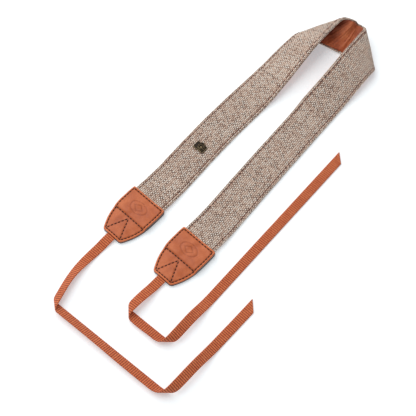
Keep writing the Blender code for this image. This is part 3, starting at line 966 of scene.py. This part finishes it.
def patch_half_width(b):
    along = np.array([row[0] for row in PATCH_OUTLINE]) * PATCH_LENGTH
    half = np.array([row[1] for row in PATCH_OUTLINE]) * PATCH_WIDTH / 2
    fine = np.linspace(0, PATCH_LENGTH, OUTLINE_SAMPLES)
    rough = np.pad(np.interp(fine, along, half), OUTLINE_BLEND, mode="reflect",
                   reflect_type="odd")
    weights = np.hanning(2 * OUTLINE_BLEND + 1)
    width = np.interp(b, fine, np.convolve(rough, weights / weights.sum(), mode="valid"))
    for reach, corner in ((b, PATCH_TOP_CORNER), (PATCH_LENGTH - b, PATCH_END_CORNER)):
        short = np.clip(corner - reach, 0, corner)
        width = width - (corner - np.sqrt(corner ** 2 - short ** 2))
    return width


def outline_points(count, inset=0.0):
    b = np.linspace(0, PATCH_LENGTH, count)
    side = np.stack([patch_half_width(b), b], axis=1)
    loop = np.vstack([side, side[::-1] * [-1, 1]])
    middle = np.array([0.0, PATCH_LENGTH * 0.5])
    ahead = np.roll(loop, -1, axis=0) - np.roll(loop, 1, axis=0)
    normal = np.stack([-ahead[:, 1], ahead[:, 0]], axis=1)
    normal /= np.linalg.norm(normal, axis=1)[:, None] + 1e-12
    normal *= np.sign(((middle - loop) * normal).sum(1))[:, None]
    return loop + normal * inset


def distance_to(points, a, b):
    # Shortest distance from places (a, b) to a line of points
    best = np.full(np.shape(a), 1.0)
    for (x1, y1), (x2, y2) in zip(points[:-1], points[1:]):
        dx, dy = x2 - x1, y2 - y1
        t = np.clip(((a - x1) * dx + (b - y1) * dy) / (dx * dx + dy * dy + 1e-15), 0, 1)
        best = np.minimum(best, np.hypot(a - x1 - t * dx, b - y1 - t * dy))
    return best


def stitch_lines():
    inset, step = PATCH_STITCH_INSET, 0.0005
    right = []
    for b in np.linspace(inset, PATCH_LENGTH - inset, PATCH_SIDE_POINTS):
        slope = (patch_half_width(b + step) - patch_half_width(b - step)) / (2 * step)
        right.append((float(patch_half_width(b)) - inset * math.hypot(1.0, float(slope)), b))
    left = [(-a, b) for a, b in right]
    cross_half = np.interp(PATCH_CROSS_LINE, [b for _, b in right], [a for a, _ in right])
    v_foot = PATCH_LENGTH - PATCH_V_FOOT
    v_half = right[-1][0] - PATCH_V_SIDE
    return [
        [left[0], right[0]],
        right,
        left,
        [left[-1], right[-1]],
        [(-cross_half, PATCH_CROSS_LINE), (cross_half, PATCH_CROSS_LINE)],
        [(-PATCH_V_APEX_HALF, PATCH_V_APEX), (-v_half, v_foot)],
        [(PATCH_V_APEX_HALF, PATCH_V_APEX), (v_half, v_foot)],
    ]


OUTLINE = outline_points(OUTLINE_POINTS)
OUTLINE = np.vstack([OUTLINE, OUTLINE[:1]])
LINES = stitch_lines()


def ornament(a, b):
    # A plain pressed ornament: an oval with a small lozenge in it
    a, b = a / OVAL_HALF[0], (b - ORNAMENT_PLACE) / OVAL_HALF[1]
    oval = np.abs(np.hypot(a, b) - 1.0) * OVAL_RADIUS
    lozenge = np.abs(a) / LOZENGE_SHARE[0] + np.abs(b) / LOZENGE_SHARE[1]
    lozenge = np.abs(lozenge - 1.0) * LOZENGE_RADIUS
    return np.exp(-(np.minimum(oval, lozenge) / ORNAMENT_LINE) ** 2)


def patch_surface(a, b):
    # Height of the upper leather, how raised each place is, and the shade painted in its grooves
    # and ornament
    half = patch_half_width(b)
    inset = np.maximum(half - np.abs(a), 0.0)
    rim_distance = distance_to(OUTLINE, a, b)
    step = eased((b - (BAND_LAP - PATCH_SHOULDER)) / (2 * PATCH_SHOULDER))
    over_band = PATCH_LIFT + BAND_THICKNESS + GAP + PATCH_LEATHER
    over_strap = PATCH_LIFT + STRAP_THICKNESS + GAP + PATCH_LEATHER
    crest = over_band + (over_strap - over_band) * step
    rim_wide = over_band - RIM_SHARE * PATCH_LEATHER
    rim = rim_wide + (PATCH_LIFT + PATCH_LEATHER - rim_wide) * step
    slope = PATCH_SHOULDER + (half - STRAP_WIDTH / 2 - PATCH_SHOULDER) * step
    rise = np.sin(np.pi / 2 * np.minimum(inset / np.maximum(slope, PATCH_SHOULDER), 1.0))
    height = rim + (crest - rim) * rise
    roll = np.where(rim_distance < BORDER_WIDTH, np.sin(np.pi * rim_distance / BORDER_WIDTH), 0.0)
    short = np.clip(EDGE_ROUND - rim_distance, 0, EDGE_ROUND)
    height = height + BORDER_ROLL * roll - (EDGE_ROUND - np.sqrt(EDGE_ROUND ** 2 - short ** 2))
    near = np.min([distance_to(line, a, b) for line in LINES], axis=0)
    groove = np.exp(-(near / GROOVE_SPREAD) ** 2)
    mark = ornament(a, b)
    swell = waves(b, a, *PATCH_SWELL_ALONG) + waves(a, b, *PATCH_SWELL_ACROSS)
    swell = swell * np.clip(near / SWELL_FADE, 0, 1)
    height = height - GROOVE_DEPTH * groove - ORNAMENT_DEPTH * mark + swell
    # The rolled border is coloured lighter towards its top
    raised = np.clip(roll, 0, 1) * np.clip(rim_distance / BORDER_TINT_FADE, 0, 1)
    # Shade is painted into the stitch grooves and the ornament
    painted_shade = np.clip(GROOVE_SHADE * groove + ORNAMENT_SHADE * mark, 0, 1)
    return height, raised, painted_shade


def make_patch_top(name, place, leather, edge, node):
    # A grid of points that follows the outline, over a flat underside with a painted edge
    rim = np.array(RIM_STEPS)
    inside = np.arange(rim[-1] + PATCH_GRID, PATCH_LENGTH - rim[-1], PATCH_GRID)
    rows = np.concatenate([rim, inside, PATCH_LENGTH - rim[::-1]])
    left = rim - patch_half_width(rows)[:, None]
    columns = int(2 * (PATCH_WIDTH / 2 - rim[-1]) / PATCH_GRID)
    shares = np.linspace(0, 1, columns)[1:-1]
    a = np.hstack([left, left[:, -1:] * (1 - 2 * shares), -left[:, ::-1]])
    b = np.repeat(rows[:, None], a.shape[1], axis=1)
    height, raised, painted_shade = patch_surface(a, b)
    wide = a.shape[1]
    top = np.stack([a, b, height], axis=-1).reshape(-1, 3)
    index = np.arange(len(top)).reshape(a.shape)
    border = np.concatenate([index[0], index[1:, -1], index[-1, -2::-1], index[-2:0:-1, 0]])
    lower = top[border] * [1, 1, 0] + [0, 0, PATCH_LIFT]
    faces = [(i, i + 1, i + wide + 1, i + wide) for i in index[:-1, :-1].ravel().tolist()]
    finishes = [0] * len(faces)
    size, first = len(border), len(top)
    border = border.tolist()
    for k in range(size):
        n = (k + 1) % size
        faces.append((border[k], border[n], first + n, first + k))
    faces.append(tuple(range(first, first + size)))
    finishes += [1] * (size + 1)
    vertices = [place @ Vector(v) for v in np.vstack([top, lower])]
    mesh = closed_mesh(name, vertices, faces, finishes)
    mark_points(mesh, "raised", np.append(raised, np.zeros(size)))
    mark_points(mesh, "painted_shade", np.append(painted_shade, np.zeros(size)))
    link(name, mesh, [leather, edge], (node,))


def make_patch_under(name, place, leather, edge, node):
    # The lower leather: a flat plate with softened edges and the painted edge round it
    levels = ((UNDER_SOFT, 0.0), (0.0, UNDER_SOFT), (0.0, PATCH_LEATHER - UNDER_SOFT),
              (UNDER_SOFT, PATCH_LEATHER))
    vertices = [place @ Vector((x, y, z)) for inset, z in levels
                for x, y in outline_points(UNDER_POINTS, inset)]
    size = 2 * UNDER_POINTS
    faces = tube_faces(len(levels), size)
    finishes = [1] * (len(faces) - 2) + [0, 0]
    mesh = closed_mesh(name, vertices, faces, finishes)
    link(name, mesh, [leather, edge], (node,))


def make_patch_stitches(name, place, thread):
    ends = ([], [])
    for line in map(np.array, LINES):
        lengths = np.concatenate([[0], np.cumsum(np.hypot(*np.diff(line, axis=0).T))])
        count = max(int(round(lengths[-1] / PATCH_STITCH_PITCH)), 1)
        for k in range(count):
            for share, places in zip(PATCH_STITCH_SHARES, ends):
                at = (k + share) * lengths[-1] / count
                a, b = (np.interp(at, lengths, line[:, i]) for i in (0, 1))
                places.append((a, b))
    starts, ends = (on_patch(place, np.array(places), PATCH_STITCH_LIFT) for places in ends)
    mesh = stitch_mesh(name, starts, ends, [(0, 0, 1)] * len(starts), PATCH_STITCH_RADIUS)
    link(name, mesh, [thread])


def on_patch(place, places, lift):
    height = patch_surface(places[:, 0], places[:, 1])[0] + lift
    return [place @ Vector((a, b, z)) for (a, b), z in zip(places, height)]


# Stud

def stud_outline(inset):
    # A rounded box with the hump of the view finder on its upper side
    x, y = STUD_WIDTH / 2 - STUD_CORNER, STUD_HEIGHT / 2 - STUD_CORNER
    corners = [arc((u * x, v * y), STUD_CORNER - inset, first, first + 90, STUD_CORNER_POINTS)
               for u, v, first in ((1, 1, 0), (-1, 1, 90), (-1, -1, 180), (1, -1, 270))]
    half, high = STUD_FINDER_HALF - inset, STUD_HEIGHT / 2 - inset
    finder = [(half * u, high + STUD_FINDER_RISE * v) for u, v in STUD_FINDER_OUTLINE]
    mirrored = [(-u, v) for u, v in finder[::-1]]
    return corners[0] + finder + mirrored + corners[1] + corners[2] + corners[3]


def make_stud(run, bronze):
    s = np.array([STUD_PLACE * BAND_SPAN])
    point, travel, _, normal = (rows[0] for rows in run.frames(s))
    seat = point + normal * (BAND_THICKNESS / 2 + GAP)
    up = -travel
    right = np.cross(up, normal)
    place = Matrix([[right[i], up[i], normal[i], seat[i]] for i in range(3)] + [[0, 0, 0, 1]])
    vertices, raised = [], []
    for inset, z, lightened in STUD_LEVELS:
        vertices += [(x, y, z) for x, y in stud_outline(inset)]
        raised += [lightened] * len(stud_outline(inset))
    faces = tube_faces(len(STUD_LEVELS), len(stud_outline(0.0)))
    faces += tube_faces(len(STUD_LENS_PROFILE), STUD_LENS_SIDES, len(vertices))
    for share, high, lightened in STUD_LENS_PROFILE:
        radius, z = STUD_LENS_RADIUS * share, STUD_LENS_SEAT + STUD_LENS_RISE * high
        vertices += [(STUD_LENS_ASIDE + radius * x, radius * y, z)
                     for x, y in circle(STUD_LENS_SIDES)]
        raised += [lightened] * STUD_LENS_SIDES
    mesh = closed_mesh("stud_detail", [place @ Vector(v) for v in vertices], faces)
    mark_points(mesh, "raised", raised)
    link("stud_detail", mesh, [bronze], ("camera_stud",))


# Table and light

def make_floor():
    made, n, shader = new_material("white table", {
        "Roughness": 0.55, "Specular IOR Level": 0.1, "Emission Color": TABLE_GLOW_COLOUR,
        "Emission Strength": TABLE_GLOW})
    clouds = n.noise(n.object_place(), TABLE_CLOUD_SCALE)
    n.feed(shader.inputs["Base Color"], n.ramp(clouds, TABLE_WHITES))
    mesh = bpy.data.meshes.new("table_top")
    corners = ((-1, -1), (1, -1), (1, 1), (-1, 1))
    mesh.from_pydata([(x * TABLE_HALF, y * TABLE_HALF, TABLE_TOP) for x, y in corners],
                     [], [(0, 1, 2, 3)])
    mesh.materials.append(made)
    floor = new_object("table_top", mesh)


def make_light():
    scene = bpy.context.scene
    scene.view_settings.view_transform = "Standard"
    scene.view_settings.look = "None"
    world = bpy.data.worlds.new("studio")
    world.use_nodes = True
    room = world.node_tree.nodes["Background"]
    room.inputs["Color"].default_value = (*ROOM_COLOUR, 1.0)
    room.inputs["Strength"].default_value = ROOM_LIGHT
    scene.world = world
    for name, place, size, energy, colour in LAMPS:
        lamp = bpy.data.lights.new(name, "AREA")
        lamp.shape = "SQUARE"
        lamp.size = size
        lamp.energy = energy
        lamp.color = colour
        light = new_object(name, lamp)
        light.location = place
        light.rotation_euler = (-Vector(place)).to_track_quat("-Z", "Y").to_euler()


# Putting it together

def patch_place(run, s, outward_end):
    # A patch's place on the table, its length pointing away from the band
    point, travel = (rows[0] for rows in run.frames(np.array([s]))[:2])
    travel = travel * (1 if outward_end else -1)
    away = math.atan2(travel[1], travel[0])
    return (Matrix.Translation((point[0], point[1], 0.0))
            @ Matrix.Rotation(away - math.pi / 2, 4, "Z"))


def main():
    tweed = tweed_material()
    webbing = webbing_material()
    lining = leather_material("lining leather", *LINING_LEATHER)
    leather = leather_material("patch leather", *PATCH_TOP_LEATHER)
    edge = edge_material()
    band_thread = thread_material("band thread", BAND_THREAD)
    patch_thread = thread_material("patch thread", PATCH_THREAD)
    bronze = bronze_material()

    run = Run(RIGHT_PATCH_TOP, RIGHT_PATCH_HEADING, BAND_SPAN, BAND_BENDS, BAND_WIDTH,
              BAND_THICKNESS, (BAND_LAP, BAND_LAP), BAND_SETTLE, BAND_RISE)
    make_face(run, tweed)
    make_lining(run, lining)
    make_band_stitches(run, band_thread)
    for side, s, outward_end, length, bends in (
            ("left", BAND_SPAN, True, LEFT_STRAP_LENGTH, LEFT_STRAP_BENDS),
            ("right", 0.0, False, RIGHT_STRAP_LENGTH, RIGHT_STRAP_BENDS)):
        place = patch_place(run, s, outward_end)
        make_patch_top("patch_top_" + side, place, leather, edge, "patch_front_" + side)
        make_patch_under("patch_under_" + side, place, leather, edge, "patch_back_" + side)
        make_patch_stitches("patch_stitches_" + side, place, patch_thread)
        make_strap("webbing_" + side, place, length, bends, webbing, "strap_" + side)
    make_stud(run, bronze)
    make_floor()
    make_light()


main()
